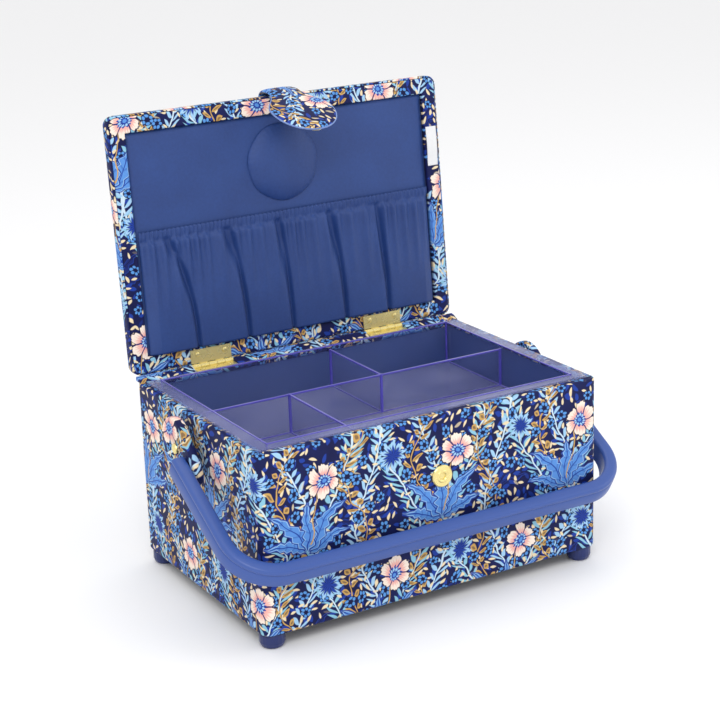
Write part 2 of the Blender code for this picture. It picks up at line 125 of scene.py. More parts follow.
def layOver(tree, under, over, mask):  # one colour laid over another where mask is 1
    node = tree.nodes.new("ShaderNodeMix")
    node.data_type = "RGBA"
    for slot, value in ((0, mask), (6, under), (7, over)):
        if isinstance(value, Field):
            tree.links.new(value.socket, node.inputs[slot])
        elif isinstance(value, bpy.types.NodeSocket):
            tree.links.new(value, node.inputs[slot])
        else:
            node.inputs[slot].default_value = value
    return node.outputs[2]


def addNoise(tree, vector, scale, detail=2.0, rough=0.5, flat=False):
    node = tree.nodes.new("ShaderNodeTexNoise")
    node.noise_dimensions = "2D" if flat else "3D"
    node.inputs["Scale"].default_value = scale
    node.inputs["Detail"].default_value = detail
    node.inputs["Roughness"].default_value = rough
    if vector is not None:
        tree.links.new(vector, node.inputs["Vector"])
    return node


printLook = {
    "repeat": (118.0, 180.0),          # half-drop repeat in mm
    "stray": 7.0,                      # how far the drawing wanders
    "flowerAt": (18.6, 124.3),
    "flowerRadius": 13.8,
    "royalLeaves": (36, -44, 40.0),    # place from the large flower, and size
    "paleLeaves": (-15, -53, 47.0),
    "cornflower": (-58, 6),
    "ferns": ((8.0, 0.6, 17.0, "aqua", 10.5), (-20.0, 3.4, 13.0, "skyEdge", 8.5)),
    "ground": "#090d3e",
    "royal": "#1a3c9c",
    "deepBlue": "#13256c",
    "sky": "#5b93dc",
    "skyEdge": "#a3cdee",
    "aqua": "#8cc4dc",
    "stem": "#cfe4f2",
    "gold": "#cda35c",
    "cream": "#f0dcb4",
    "pink": "#f2b3a8",
    "petalEdge": "#fbeadb",
    "dots": "#5a98de",
}


def brickCell(px, py, cx, cy):  # distance from the nearest repeat of a motif centred at cx, cy
    wide, tall = printLook["repeat"]
    row = ((py - cy) * (2 / tall) + 0.5).op("FLOOR")
    ly = py - cy - row * (tall / 2)
    across = (px - cx) * (1 / wide) - (row * 0.5).part()
    lx = ((across + 0.5).part() - 0.5) * wide
    return lx, ly


def columnCell(px, py, cx, cy):  # the same for stems that run the whole height
    wide, tall = printLook["repeat"]
    column = ((px - cx) * (2 / wide) + 0.5).op("FLOOR")
    lx = px - cx - column * (wide / 2)
    ly = py - cy + (column * 0.5).part() * tall
    return lx, ly


def polar(x, y):
    return (x * x + y * y).op("SQRT"), y.op("ARCTAN2", x)


def leafRow(u, v, pitch, length, width, slant, gap=0.0):
    # leaflets standing off both sides of a stem that runs along u at v = 0
    side = v.op("SIGN") * (pitch / 4)
    away = v.size()
    along = ((u + side - away * slant) * (1 / pitch)).part() * pitch - pitch / 2
    reach = ((away - gap) * (1 / length)).clipped()
    return (reach * math.pi).wave() * (width + 0.3) - along.size() - 0.3


def stampCells(tree, px, py, pitch, seed):  # scattered, turned copies: local x, y and a random number
    join = tree.nodes.new("ShaderNodeCombineXYZ")
    tree.links.new((px * (1 / pitch) + seed).socket, join.inputs[0])
    tree.links.new((py * (1 / pitch) - seed).socket, join.inputs[1])
    cells = tree.nodes.new("ShaderNodeTexVoronoi")
    cells.voronoi_dimensions = "2D"
    cells.inputs["Scale"].default_value = 1.0
    cells.inputs["Randomness"].default_value = 0.75
    tree.links.new(join.outputs[0], cells.inputs["Vector"])
    offset = tree.nodes.new("ShaderNodeVectorMath")
    offset.operation = "SUBTRACT"
    tree.links.new(join.outputs[0], offset.inputs[0])
    tree.links.new(cells.outputs["Position"], offset.inputs[1])
    pick = splitVector(tree, cells.outputs["Color"])
    turn = tree.nodes.new("ShaderNodeVectorRotate")
    turn.rotation_type = "Z_AXIS"
    tree.links.new(offset.outputs[0], turn.inputs["Vector"])
    tree.links.new((pick[0] * 6.283).socket, turn.inputs["Angle"])
    x, y, _ = splitVector(tree, turn.outputs[0])
    return x * pitch, y * pitch, pick[1]


def leafFan(tree, colour, px, py, cx, cy, size, shades):
    # a clump of broad lobed leaves: an upright one and pairs that rise and curl outwards
    inner, rim, shadow = (fromHex(printLook[shade]) for shade in shades)
    lx, ly = brickCell(px, py, cx, cy + 0.48 * size)
    ly = ly + 0.48 * size
    out = lx.size()
    for lean, tall, wide, curl in ((1.12, 0.8, 0.1, 0.16), (0.52, 1.0, 0.125, 0.26), (0.0, 0.84, 0.12, 0.0)):
        far = size * tall
        c, n = math.cos(lean), math.sin(lean)
        sideways = out if lean else lx
        up = (ly * c + sideways * n) * (1 / far)
        off = sideways * c - ly * n
        inside = (up - 0.02).above(0.01) * (1.0 - up).above(0.01)
        reach = up.clipped()
        off = off - reach * reach * reach * (curl * far)
        teeth = ((up * 5.5 + 0.2).part() - 0.5).size()
        half = (reach.op("POWER", 0.7) * math.pi).wave() * (wide * size) * (teeth + 0.58)
        gap = half - off.size()
        mask = gap.above(0.5) * inside
        colour = layOver(tree, colour, shadow, (gap + 1.1).above(0.5) * inside)
        colour = layOver(tree, colour, rim, mask)
        colour = layOver(tree, colour, inner, (gap - 0.55).above(0.5) * mask)
        veins = ((up * 5.5 - off.size() * 0.11).part() - 0.8).above(0.15) * (gap - 0.6).above(0.4) * inside
        colour = layOver(tree, colour, shadow, veins * 0.4)
        colour = layOver(tree, colour, shadow, (0.36 - off.size()).above(0.3) * mask)
    return colour


def buildPrint():
    tree = bpy.data.node_groups.new("floralPrint", "ShaderNodeTree")
    tree.interface.new_socket("Colour", in_out="OUTPUT", socket_type="NodeSocketColor")
    place = tree.nodes.new("ShaderNodeUVMap")
    place.uv_map = "print"
    wobble = splitVector(tree, addNoise(tree, place.outputs[0], 55.0, 1.0, flat=True).outputs["Color"])
    u, v, _ = splitVector(tree, place.outputs[0])
    look = printLook
    stray = look["stray"]
    px = u * 1000 + wobble[0] * stray - stray / 2
    py = v * 1000 + wobble[1] * stray - stray / 2
    fx, fy = look["flowerAt"]
    colour = layOver(tree, fromHex(look["ground"]), fromHex(look["deepBlue"]), wobble[2] * 0.5)

    def lay(shade, mask):  # the next motif over what is there
        nonlocal colour
        colour = layOver(tree, colour, fromHex(look[shade]), mask)

    # shadowy royal blue leaves on the ground
    dx, dy, size = look["royalLeaves"]
    colour = leafFan(tree, colour, px, py, fx + dx, fy + dy, size, ("deepBlue", "royal", "ground"))
    x, y, pick = stampCells(tree, px, py, 8.5, 3.7)
    leaf = 1.7 - (x * x) * 0.13 - y.size()
    lay("royal", leaf.above(0.4) * (0.75 - pick).above(0.05))

    # fern sprays
    for cx, phase, reach, shade, length in look["ferns"]:
        lx, ly = columnCell(px, py, fx + cx, fy)
        bend = (ly * (math.tau / look["repeat"][1]) + phase).wave() * reach
        across = lx - bend
        lay(shade, leafRow(ly, across, 6.4, length, 1.75, 0.85).above(0.45))
        lay("stem", (0.75 - across.size()).above(0.4))

    # scattered cream leaflets and the gold sprays
    x, y, pick = stampCells(tree, px, py, 6.6, 11.3)
    leaf = 1.05 - (x * x) * 0.115 - y.size()
    lay("cream", leaf.above(0.4) * (0.6 - pick).above(0.05))
    lx, ly = columnCell(px, py, fx + 27, fy + 20)
    across = lx - (ly * (2 * math.tau / look["repeat"][1])).wave() * 9.0
    golden = leafRow(ly, across, 8.2, 7.6, 2.2, 0.6, 0.8)
    lay("gold", golden.above(0.4))
    lay("ground", (golden - 1.35).above(0.4) * 0.6)
    lay("gold", (0.5 - across.size()).above(0.35))

    # little flowers made of dots
    x, y, pick = stampCells(tree, px, py, 19.0, 5.9)
    r, angle = polar(x, y)
    a = (((angle * (6 / math.tau)).part() - 0.5) * (math.tau / 6)).op("COSINE")
    dot = 1.25 - (r * r + 9.0 - r * a * 6.0).op("MAXIMUM", 0.0).op("SQRT")
    lay("ground", (4.6 - r).above(0.3))
    lay("dots", dot.above(0.4))

    # blue and white cornflowers between the large flowers
    dx, dy = look["cornflower"]
    lx, ly = brickCell(px, py, fx + dx, fy + dy)
    r, angle = polar(lx, ly)
    a = (angle * (11 / math.tau)).part() - 0.5
    star = 12.5 - a.size() * 11.0 + (a * 28.0).wave() * 0.7 - r
    lay("royal", star.above(0.5))
    lay("skyEdge", star.above(0.5) * (r - 8.2 + a.size() * 8).above(1.5))
    lay("ground", (star - 0.2).above(0.4) * (a.size() - 0.42).above(0.06))

    # the large pale blue leaves
    dx, dy, size = look["paleLeaves"]
    colour = leafFan(tree, colour, px, py, fx + dx, fy + dy, size, ("sky", "skyEdge", "royal"))
    sx, sy = brickCell(px, py, fx - 9, fy - 28)
    stalk = (0.5 - (sx - sy * 0.22).size()).above(0.35)
    lay("gold", stalk * (20 - sy.size()).above(1.0))

    # the large flowers
    lx, ly = brickCell(px, py, fx, fy)
    r, angle = polar(lx, ly)
    turned = angle * (6 / math.tau)
    a = (turned.part() - 0.5).size()
    edge = look["flowerRadius"] - (a * 2).op("POWER", 3.0) * 4.6 + (a * 25.0).wave() * 0.55
    petal = (edge - r).above(0.5)
    lay("ground", (edge + 1.0 - r).above(0.5))
    paler = (r - 9.3 + (a * 40.0).wave() * 1.3).above(3.0)
    tint = layOver(tree, fromHex(look["pink"]), fromHex(look["petalEdge"]), paler)
    colour = layOver(tree, colour, tint, petal)
    lay("deepBlue", petal * (0.55 - (0.5 - a) * r * 1.05).above(0.35))
    lay("royal", (5.6 - r + (angle * 14.0).wave() * 0.8).above(0.4))
    lay("skyEdge", (0.62 - (r - 3.9).size() - (angle * 11.0).wave() * 0.6).above(0.3))
    lay("sky", (1.7 - r).above(0.4))

    out = tree.nodes.new("NodeGroupOutput")
    tree.links.new(colour, out.inputs[0])
    print("print nodes", len(tree.nodes))
    return tree


def newLook(name, rough=0.5, metal=0.0):
    material = bpy.data.materials.new(name)
    material.use_nodes = True
    tree = material.node_tree
    shader = tree.nodes["Principled BSDF"]
    shader.inputs["Roughness"].default_value = rough
    shader.inputs["Metallic"].default_value = metal
    return material, tree, shader


def addBump(tree, shader, height, distance, strength=1.0, under=None):
    node = tree.nodes.new("ShaderNodeBump")
    node.inputs["Distance"].default_value = distance
    node.inputs["Strength"].default_value = strength
    tree.links.new(height.socket if isinstance(height, Field) else height, node.inputs["Height"])
    if under is not None:
        tree.links.new(under, node.inputs["Normal"])
    tree.links.new(node.outputs[0], shader.inputs["Normal"])
    return node.outputs[0]


def objectSpace(tree):
    return tree.nodes.new("ShaderNodeTexCoord").outputs["Object"]


def weave(tree, pitch):  # plain weave height from the cloth's own flat coordinates
    place = tree.nodes.new("ShaderNodeUVMap")
    place.uv_map = "print"
    u, v, _ = splitVector(tree, place.outputs[0])
    k = math.tau / pitch
    return (u * k).wave() * (v * k).wave()


def printedCloth():
    material, tree, shader = newLook("printed_cotton", 0.62)
    group = tree.nodes.new("ShaderNodeGroup")
    group.node_tree = buildPrint()
    soft = addNoise(tree, objectSpace(tree), 34.0, 3.0)
    shade = tree.nodes.new("ShaderNodeHueSaturation")
    tree.links.new(group.outputs[0], shade.inputs["Color"])
    value = Field(tree, soft.outputs["Fac"]) * 0.22 + 0.86
    tree.links.new(value.socket, shade.inputs["Value"])
    tree.links.new(shade.outputs[0], shader.inputs["Base Color"])
    threads = weave(tree, 0.9 * mm)
    under = addBump(tree, shader, soft.outputs["Fac"], 0.9 * mm, 0.25)
    addBump(tree, shader, threads, 0.05 * mm, 0.5, under)
    shader.inputs["Sheen Weight"].default_value = 0.03
    shader.inputs["Sheen Roughness"].default_value = 0.4
    shader.inputs["Specular IOR Level"].default_value = 0.22
    return material


def plainCloth(name, colour, shadow, rough=0.6, sheen=0.2, pitch=0.8 * mm, crumple=0.5):
    material, tree, shader = newLook(name, rough)
    place = objectSpace(tree)
    soft = addNoise(tree, place, 26.0, 3.0)
    slub = addNoise(tree, place, 420.0, 2.0)
    blend = Field(tree, soft.outputs["Fac"]) * 0.8 + Field(tree, slub.outputs["Fac"]) * 0.5 - 0.25
    tree.links.new(layOver(tree, fromHex(shadow), fromHex(colour), blend), shader.inputs["Base Color"])
    threads = weave(tree, pitch)
    under = addBump(tree, shader, soft.outputs["Fac"], 1.2 * mm, crumple)
    addBump(tree, shader, threads + Field(tree, slub.outputs["Fac"]) * 1.5, 0.06 * mm, 0.6, under)
    shader.inputs["Sheen Weight"].default_value = sheen
    shader.inputs["Sheen Roughness"].default_value = 0.35
    return material


def mouldedPlastic(name, colour, worn, rough):
    material, tree, shader = newLook(name, rough)
    place = objectSpace(tree)
    cloud = addNoise(tree, place, 9.0, 2.0)
    grain = addNoise(tree, place, 900.0, 2.0)
    tint = layOver(tree, fromHex(colour), fromHex(worn), Field(tree, cloud.outputs["Fac"]) * 0.6)
    tree.links.new(tint, shader.inputs["Base Color"])
    gloss = Field(tree, grain.outputs["Fac"]) * 0.16 + (rough - 0.08)
    tree.links.new(gloss.socket, shader.inputs["Roughness"])
    addBump(tree, shader, grain.outputs["Fac"], 0.05 * mm, 0.35)
    return material


brassLook = {"pale": "#f6e8a2", "deep": "#dcc071", "rough": 0.3, "metal": 0.65}


def brassFinish():
    look = brassLook
    material, tree, shader = newLook("polished_brass", look["rough"], look["metal"])
    place = objectSpace(tree)
    cloud = addNoise(tree, place, 120.0, 3.0)
    scuff = addNoise(tree, place, 1500.0, 2.0)
    patches = Field(tree, cloud.outputs["Fac"]) * 0.6
    tint = layOver(tree, fromHex(look["pale"]), fromHex(look["deep"]), patches)
    tree.links.new(tint, shader.inputs["Base Color"])
    gloss = Field(tree, cloud.outputs["Fac"]) * 0.16 + 0.2
    tree.links.new(gloss.socket, shader.inputs["Roughness"])
    addBump(tree, shader, scuff.outputs["Fac"], 0.02 * mm, 0.2)
    return material


# the pale lilac here is a painted reflection laid on faces that lie level, such as the tray's floor and flange;
# the last number makes those faces more opaque so that it shows
clearLook = {"level": "#b4b4d6", "rough": 0.08, "slant": 0.35, "mist": 0.05, "levelMist": 0.28}


def clearTray(name, tint, body, cover, glance, gloss):
    # see-through tinted plastic: clear face on, milkier and shinier where it is seen at a slant, with a painted
    # reflection in pale lilac on the faces that lie level
    material, tree, shader = newLook(name, clearLook["rough"])
    place = tree.nodes.new("ShaderNodeTexCoord")
    cloud = addNoise(tree, place.outputs["Object"], 16.0, 2.0)
    mist = Field(tree, cloud.outputs["Fac"])
    # painted reflection: faces that lie level get a lighter lilac and more opacity below
    level = splitVector(tree, place.outputs["Normal"])[2].size()  # 1 on the floor and the flange
    colour = layOver(tree, fromHex(body), fromHex(tint), mist)
    # painted reflection: lighter lilac on the level faces where the mist noise is high
    colour = layOver(tree, colour, fromHex(clearLook["level"]), level * mist)
    tree.links.new(colour, shader.inputs["Base Color"])
    slant = tree.nodes.new("ShaderNodeLayerWeight")
    slant.inputs["Blend"].default_value = clearLook["slant"]
    shine = Field(tree, slant.outputs["Facing"])
    # the level faces are made more opaque too, so that the painted reflection shows
    veil = shine * shine * glance + mist * clearLook["mist"] + level * mist * clearLook["levelMist"] + cover
    tree.links.new(veil.socket, shader.inputs["Alpha"])
    shader.inputs["Specular IOR Level"].default_value = gloss
    return material


looks = {
    "print": printedCloth(),
    "lining": plainCloth("blue_lining", "#274a8e", "#1a3672", 0.55, 0.05),
    "plastic": mouldedPlastic("blue_handle_plastic", "#35529a", "#3e5ca4", 0.34),
    "feet": mouldedPlastic("dark_foot_plastic", "#16255c", "#1f3070", 0.32),
    "brass": brassFinish(),
    "tray": clearTray("tray_plastic", "#7a84bc", "#565fa4", 0.09, 0.5, 0.5),
    "trayEdge": clearTray("tray_edge", "#7268e0", "#584fcc", 0.72, 0.1, 0.3),
    "label": plainCloth("plain_label_tape", "#f4f4f2", "#e2e3e6", 0.7, 0.1, 0.5 * mm, 0.2),
    "piping": plainCloth("tab_piping", "#9cb8e6", "#3c5aa8", 0.6, 0.2),
    "board": plainCloth("dense_board", "#8c7350", "#735c3c", 0.85, 0.0),
    "felt": plainCloth("base_felt", "#1a2246", "#12172f", 0.9, 0.3),
    "wadding": plainCloth("soft_wadding", "#e8e6df", "#d4d2ca", 0.95, 0.3),
}
print("materials ready")


# mesh helpers
def makeMesh(name, verts, faces, uvs, look, body, smooth=True):
    mesh = bpy.data.meshes.new(name)
    mesh.from_pydata([tuple(v) for v in verts], [], faces)
    layer = mesh.uv_layers.new(name="print")
    flat = [coordinate for face in uvs for pair in face for coordinate in pair]
    layer.data.foreach_set("uv", flat)
    mesh.materials.append(looks[look])
    for polygon in mesh.polygons:
        polygon.use_smooth = smooth
    mesh.update()
    piece = bpy.data.objects.new(name, mesh)
    scene.collection.objects.link(piece)
    if body:
        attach(piece, body)
    return piece


def addBevel(piece, width):
    bevel = piece.modifiers.new("edges", "BEVEL")
    bevel.width = width
    bevel.segments = 2
    bevel.limit_method = "ANGLE"
    bevel.angle_limit = math.radians(30)


def roundRect(halfX, halfY, radius, corner=8, straight=(16, 12)):
    # points round a rectangle, from the middle of the back by way of the left, the front and the right,
    # and how far along the way each one is, counted from the middle of the way
    points = []
    nx, ny = straight
    pieces = [((0, halfY), (-halfX + radius, halfY), nx), None,
              ((-halfX, halfY - radius), (-halfX, -halfY + radius), ny), None,
              ((-halfX + radius, -halfY), (halfX - radius, -halfY), 2 * nx), None,
              ((halfX, -halfY + radius), (halfX, halfY - radius), ny), None,
              ((halfX - radius, halfY), (0, halfY), nx)]
    corners = iter([(-1, 1, 90), (-1, -1, 180), (1, -1, 270), (1, 1, 0)])
    for piece in pieces:
        if piece is None:
            sx, sy, start = next(corners)
            cx, cy = sx * (halfX - radius), sy * (halfY - radius)
            for k in range(1, corner):
                turn = math.radians(start + 90 * k / corner)
                points.append((cx + radius * math.cos(turn), cy + radius * math.sin(turn)))
        else:
            (x0, y0), (x1, y1), steps = piece
            last = piece is pieces[-1]
            for k in range(steps if last else steps + 1):
                share = k / steps
                points.append((x0 + (x1 - x0) * share, y0 + (y1 - y0) * share))
    gone = [0.0]
    for k in range(1, len(points)):
        gone.append(gone[-1] + math.dist(points[k], points[k - 1]))
    total = gone[-1] + math.dist(points[-1], points[0])
    return points, [d - total / 2 for d in gone] + [total / 2]


def loftRings(name, rings, uvRings, look, body, closed=True, caps=(), smooth=True):
    # skin through rings of equal count; uvRings hold one more entry than there are points, for the seam
    count = len(rings[0])
    verts = [p for ring in rings for p in ring]
    faces, uvs = [], []
    last = len(rings) if closed else len(rings) - 1
    for r in range(last):
        up = (r + 1) % len(rings)
        for i in range(count):
            j = (i + 1) % count
            faces.append((r * count + i, r * count + j, up * count + j, up * count + i))
            uvs.append((uvRings[r][i], uvRings[r][i + 1], uvRings[r + 1][i + 1], uvRings[r + 1][i]))
    for ring, flip in caps:
        order = list(range(count))
        if flip:
            order.reverse()
        faces.append(tuple(ring * count + i for i in order))
        uvs.append(tuple(uvRings[ring][i] for i in order))
    return makeMesh(name, verts, faces, uvs, look, body, smooth)


def loftCup(name, rings, uvRings, cut, look, body, flip=False):
    # skin of an open box: a sheet spans the last ring of the first side, another the first ring of the second
    count = len(rings[0])
    verts = [p for ring in rings for p in ring]
    faces, uvs = [], []
    for r in range(len(rings)):
        if r == cut - 1:
            continue
        up = (r + 1) % len(rings)
        for i in range(count):
            j = (i + 1) % count
            face = [r * count + i, r * count + j, up * count + j, up * count + i]
            uv = [uvRings[r][i], uvRings[r][i + 1], uvRings[up][i + 1], uvRings[up][i]]
            if flip:
                face[1], face[3] = face[3], face[1]
                uv[1], uv[3] = uv[3], uv[1]
            faces.append(face)
            uvs.append(uv)
    for ring, turned in ((cut - 1, flip), (cut, not flip)):
        order = range(count - 1, -1, -1) if turned else range(count)
        faces.append([ring * count + i for i in order])
        uvs.append([uvRings[ring][i] for i in order])
    return makeMesh(name, verts, faces, uvs, look, body)


# case: one strip of printed cloth round the walls and over the rim
caseSpec = {
    "corner": 8.0 * mm,
    "rimWidth": 9.5 * mm,
    "turnIn": 4.0 * mm,
    "tuck": 7.0 * mm,      # how far the cloth goes under the base
    "cloth": 0.9 * mm,
    "boardGap": 0.4 * mm,
    "edge": 1.6 * mm,
}
caseLow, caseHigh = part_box("outer_cover")
caseMid = (caseLow + caseHigh) / 2
caseHalf = (caseHigh - caseLow) / 2


def buildCaseCover():
    edge, cloth, tuck, turnIn = (caseSpec[key] for key in ("edge", "cloth", "tuck", "turnIn"))
    rim, top, low = caseSpec["rimWidth"], caseHigh.z, caseLow.z
    profile = [(tuck, low), (2.0 * mm, low), (0.6 * mm, low + 0.3 * mm), (0.1 * mm, low + 1.2 * mm)]
    profile += [(0.0, low + 3 * mm + (top - low - 6 * mm) * k / 8) for k in range(9)]
    for k in range(1, 6):
        turn = math.radians(90 * k / 5)
        profile.append((edge * (1 - math.cos(turn)), top - edge + edge * math.sin(turn)))
    profile.append((rim - edge, top))
    for k in range(1, 4):
        turn = math.radians(90 * k / 3)
        profile.append((rim - edge + edge * math.sin(turn), top - edge + edge * math.cos(turn)))
    under = top - cloth - caseSpec["boardGap"]
    profile += [(rim, top - turnIn), (rim - cloth, top - turnIn), (rim - cloth, under), (cloth, under),
                (cloth, low + cloth), (tuck, low + cloth)]
    rings, uvRings = [], []
    _, gone = roundRect(caseHalf.x, caseHalf.y, caseSpec["corner"])
    travelled = low
    before = profile[0]
    for inset, z in profile + [profile[0]]:
        travelled += math.dist((inset, z), before)
        before = (inset, z)
        if len(rings) < len(profile):
            radius = max(caseSpec["corner"] - inset, 0.8 * mm)
            points, _ = roundRect(caseHalf.x - inset, caseHalf.y - inset, radius)
            rings.append([(caseMid.x + x, caseMid.y + y, z) for x, y in points])
        uvRings.append([(g, travelled - 8 * mm) for g in gone])
    piece = loftRings("case_cloth", rings, uvRings, "print", "case")
    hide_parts("outer_cover")
    return piece


buildCaseCover()


def buildLiner():
    # plain lining inside the walls and over the floor, as one open box of cloth
    low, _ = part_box("floor_lining")
    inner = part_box("right_lining")[0].x
    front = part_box("front_lining")[1].y
    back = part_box("back_lining")[0].y
    top = caseHigh.z - caseSpec["turnIn"] - 0.3 * mm
    mid, half = (front + back) / 2, (back - front) / 2
    profile = [(0, top), (0, low.z + 6 * mm), (0.6 * mm, low.z + 3.5 * mm), (2.4 * mm, low.z + 1.6 * mm)]
    profile += [(inset * mm, low.z + 1.0 * mm) for inset in (5, 30, 60, 85)]
    outer = [(85 * mm, low.z), (30 * mm, low.z), (0, low.z), (-0.9 * mm, low.z + 0.2 * mm), (-0.9 * mm, top)]
    rings, uvRings = [], []
    for k, (inset, z) in enumerate(profile + outer):
        points, gone = roundRect(inner - inset, half - inset, max(1.6 * mm - inset, 0.5 * mm), 5)
        ripple = 0.25 * mm if 0 < k < 3 else 0.0
        rings.append([(x + ripple * math.sin(y * 300), mid + y + ripple * math.sin(x * 260), z)
                      for x, y in points])
        uvRings.append([(g, z - inset) for g in gone])
    piece = loftCup("case_liner", rings, uvRings, len(profile), "lining", "case")
    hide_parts("front_lining", "back_lining", "left_lining", "right_lining", "floor_lining")


welt = {
    "ends": ((-153, -103.5), (-64.5, 62.5), (101.5, 153)),  # x where each strip starts and stops, in mm
    "front": 86.6,
    "back": 97.2,
    "heel": 96.0,
    "foot": 157.15,
    "top": 161.0,
    "edge": 1.2,
}


def buildWelt():
    # raised strip of the printed cloth along the back rim, between and beside the hinges
    y0, y1, z0, z1 = (welt[key] * mm for key in ("front", "back", "foot", "top"))
    edge = welt["edge"] * mm
    outline = [(y0, z0), (y0, z0 + 0.5 * mm), (y1 - 3.4 * edge, z1 - 0.5 * mm)]
    outline += [(y1 - edge + edge * math.sin(math.radians(t)), z1 - edge + edge * math.cos(math.radians(t)))
                for t in (0, 30, 60, 90)]
    outline += [(y1, z0 + 0.4 * mm), (welt["heel"] * mm, z0)]
    for number, (left, right) in enumerate(welt["ends"]):
        rings = [[(x * mm, y, z) for y, z in outline] for x in (left, right)]
        flat = [(y, z) for y, z in outline + outline[:1]]
        uvRings = [[(x * mm + 0.03, y * 0.8 + z * 0.8 + 0.05) for y, z in flat] for x in (left, right)]
        piece = loftRings("case_back_welt_%d" % number, rings, uvRings, "print", "case", closed=False,
                          caps=[(0, False), (1, True)], smooth=False)


buildLiner()
buildWelt()
print("case ready")

# lid: x across, s from the hinge towards the front, n outwards when shut
hinge = Vector(joints["lid_hinge"]["pos_m"])
lidTurn = math.radians(joints["lid_hinge"]["range_deg"][1])
lidAlong = Vector((0, -math.cos(lidTurn), math.sin(lidTurn)))
lidOut = Vector((0, math.sin(lidTurn), math.cos(lidTurn)))
lidSpec = {
    "near": 0.5 * mm,
    "far": 212.5 * mm,
    "corner": 8.0 * mm,
    "crown": 19.4 * mm,
    "frameWidth": 13.0 * mm,
    "frameFace": 2.3 * mm,
    "frameInset": 1.6 * mm,
    "frameShift": (40 * mm, 23 * mm),  # moves the print, so that it does not repeat the top's
}
lidMidS = (lidSpec["near"] + lidSpec["far"]) / 2
lidHalf = ((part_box("lid_cover")[1].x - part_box("lid_cover")[0].x) / 2, (lidSpec["far"] - lidSpec["near"]) / 2)


def lidPoint(x, s, n):
    return hinge + Vector((x, 0, 0)) + lidAlong * s + lidOut * n


def lidRings(profile):
    rings, uvRings = [], []
    for inset, n in profile:
        radius = max(lidSpec["corner"] - inset, 1.0 * mm)
        points, _ = roundRect(lidHalf[0] - inset, lidHalf[1] - inset, radius)
        rings.append([lidPoint(x, lidMidS - y, n) for x, y in points])
        flat = [(x, -y) for x, y in points]
        uvRings.append(flat + [flat[0]])
    return rings, uvRings


def stretchUv(uvRings, profile):
    # carries the flat print out over the sides, so that it is not smeared down them
    climbed = [0.0]
    for k in range(1, len(profile)):
        climbed.append(climbed[-1] + abs(profile[k][1] - profile[k - 1][1]))
    spread = []
    for k, ring in enumerate(uvRings):
        grow = climbed[-1] - climbed[k]
        spread.append([(x * (1 + grow / lidHalf[0]), y * (1 + grow / lidHalf[1])) for x, y in ring])
    return spread


def buildLidCover():
    crown = lidSpec["crown"]
    profile = [(inset * mm, n * mm) for inset, n in (
        (1.2, 3.1), (0.4, 3.4), (0.0, 4.4), (0.0, 8), (0.05, 11), (0.5, 13), (1.7, 14.8), (4, 16.2),
        (8, 17.2), (15, 18.0), (26, 18.7), (42, 19.15))]
    profile += [(62 * mm, crown - 0.1 * mm), (85 * mm, crown), (98 * mm, crown)]
    under = [(inset * mm, n * mm) for inset, n in (
        (98, 18.5), (60, 18.4), (26, 17.8), (8, 16.4), (2.6, 14.2), (1.3, 12), (1.3, 4))]
    rings, uvRings = lidRings(profile + under)
    cut = len(profile)
    uvRings = stretchUv(uvRings[:cut], profile) + uvRings[cut:]
    piece = loftCup("lid_cloth", rings, uvRings, cut, "print", "lid", flip=True)
    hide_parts("lid_cover")


def buildLidFrame():
    low, out = lidSpec["frameFace"], lidSpec["frameInset"]
    inner = out + lidSpec["frameWidth"]
    profile = [(out, 8 * mm), (out, 3.6 * mm), (out + 0.3 * mm, 2.8 * mm), (out + 1.1 * mm, low + 0.05 * mm),
               (out + 2.4 * mm, low), (inner - 2.2 * mm, low), (inner - 1.0 * mm, low + 0.1 * mm),
               (inner - 0.3 * mm, low + 0.6 * mm), (inner - 0.1 * mm, low + 1.4 * mm),
               (inner - 0.1 * mm, 8 * mm)]
    rings, uvRings = lidRings(profile)
    shiftX, shiftY = lidSpec["frameShift"]
    shifted = [[(x + shiftX, y + shiftY) for x, y in ring] for ring in uvRings]
    piece = loftRings("lid_rim_cloth", rings, shifted + [shifted[0]], "print", "lid")
    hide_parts("lid_frame")


def gridPad(name, columns, rows, front, back, uvOf, look, body):
    # closed pad from two grids of points that share their outer edge
    verts, faces, uvs = [], [], []
    for place in (front, back):
        for j in range(rows + 1):
            for i in range(columns + 1):
                verts.append(place(i / columns, j / rows))
    size = (columns + 1) * (rows + 1)

    def uvAt(i, j):
        return uvOf(i / columns, j / rows)

    for j in range(rows):
        for i in range(columns):
            a = j * (columns + 1) + i
            b = a + columns + 1
            quad = [(a, i, j), (a + 1, i + 1, j), (b + 1, i + 1, j + 1), (b, i, j + 1)]
            faces.append(tuple(v for v, _, _ in quad))
            uvs.append(tuple(uvAt(p, q) for _, p, q in quad))
            quad.reverse()
            faces.append(tuple(v + size for v, _, _ in quad))
            uvs.append(tuple(uvAt(p, q) for _, p, q in quad))
    border = [(i, 0) for i in range(columns)] + [(columns, j) for j in range(rows)]
    border += [(i, rows) for i in range(columns, 0, -1)] + [(0, j) for j in range(rows, 0, -1)]
    for k, (i, j) in enumerate(border):
        p, q = border[(k + 1) % len(border)]
        a, b = j * (columns + 1) + i, q * (columns + 1) + p
        faces.append((b, a, a + size, b + size))
        uvs.append((uvAt(p, q), uvAt(i, j), uvAt(i, j), uvAt(p, q)))
    return makeMesh(name, verts, faces, uvs, look, body)


liningSpec = {
    "face": 5.0 * mm,
    "thick": 1.6 * mm,
    "pillow": 0.7 * mm,
    "crease": 0.035 * mm,
    "halfWidth": 139.0 * mm,
    "near": 15.0 * mm,
    "far": 197.8 * mm,
}


